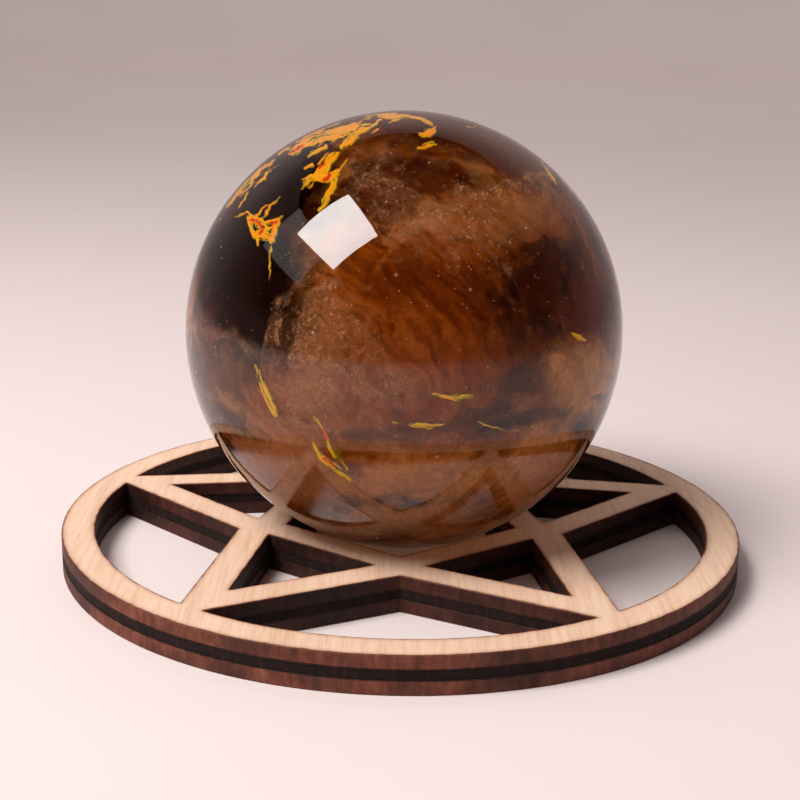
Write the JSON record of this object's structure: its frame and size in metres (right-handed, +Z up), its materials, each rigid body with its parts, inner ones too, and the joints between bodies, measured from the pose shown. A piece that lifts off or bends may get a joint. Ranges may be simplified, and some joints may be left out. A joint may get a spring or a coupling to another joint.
{
  "type": "crystal ball",
  "caption": "Polished amber-brown glass ball with swirls of coloured glass inside, resting loose in the pentagon seat of a flat laser-cut plywood stand, a star in a ring.",
  "frame": {"origin": "on the surface that the stand lies on, under the centre of the ball and of the ring", "axes": "+Z up, +Y away from the viewer, towards the star point behind the ball, +X to the viewer's right"},
  "size_m": [0.095, 0.095, 0.0618],
  "materials": {
    "clear_glass": "polished",
    "smoke_glass": "cloudy, inside the ball",
    "amber_glass": "cloudy, inside the ball",
    "milky_glass": "dusty, inside the ball",
    "flame_glass": "opaque, inside the ball",
    "star_glass": "opaque, inside the ball",
    "tail_glass": "opaque, inside the ball",
    "gold_glass": "opaque, inside the ball",
    "face_veneer": "bare, laser charred at the edges",
    "core_veneer": "bare, laser charred at the edges",
    "wood_glue": "dull, charred at the edges"
  },
  "bodies": {
    "stand": {"bottom_veneer": "face_veneer", "lower_glue_film": "wood_glue", "core_veneer": "core_veneer", "upper_glue_film": "wood_glue", "top_veneer": "face_veneer"},
    "crystal_ball": {"ball": "clear_glass", "smoke_swirls": "smoke_glass", "amber_cloud": "amber_glass", "milky_veils": "milky_glass", "flame_band": "flame_glass", "flame_star": "star_glass", "flame_tails": "tail_glass", "gold_threads": "gold_glass"}
  },
  "joints": [
    {"name": "ball_lift", "type": "slide", "parent": "stand", "child": "crystal_ball", "axis": [0, 0, 1], "range_m": [0, 0.08]}
  ]
}
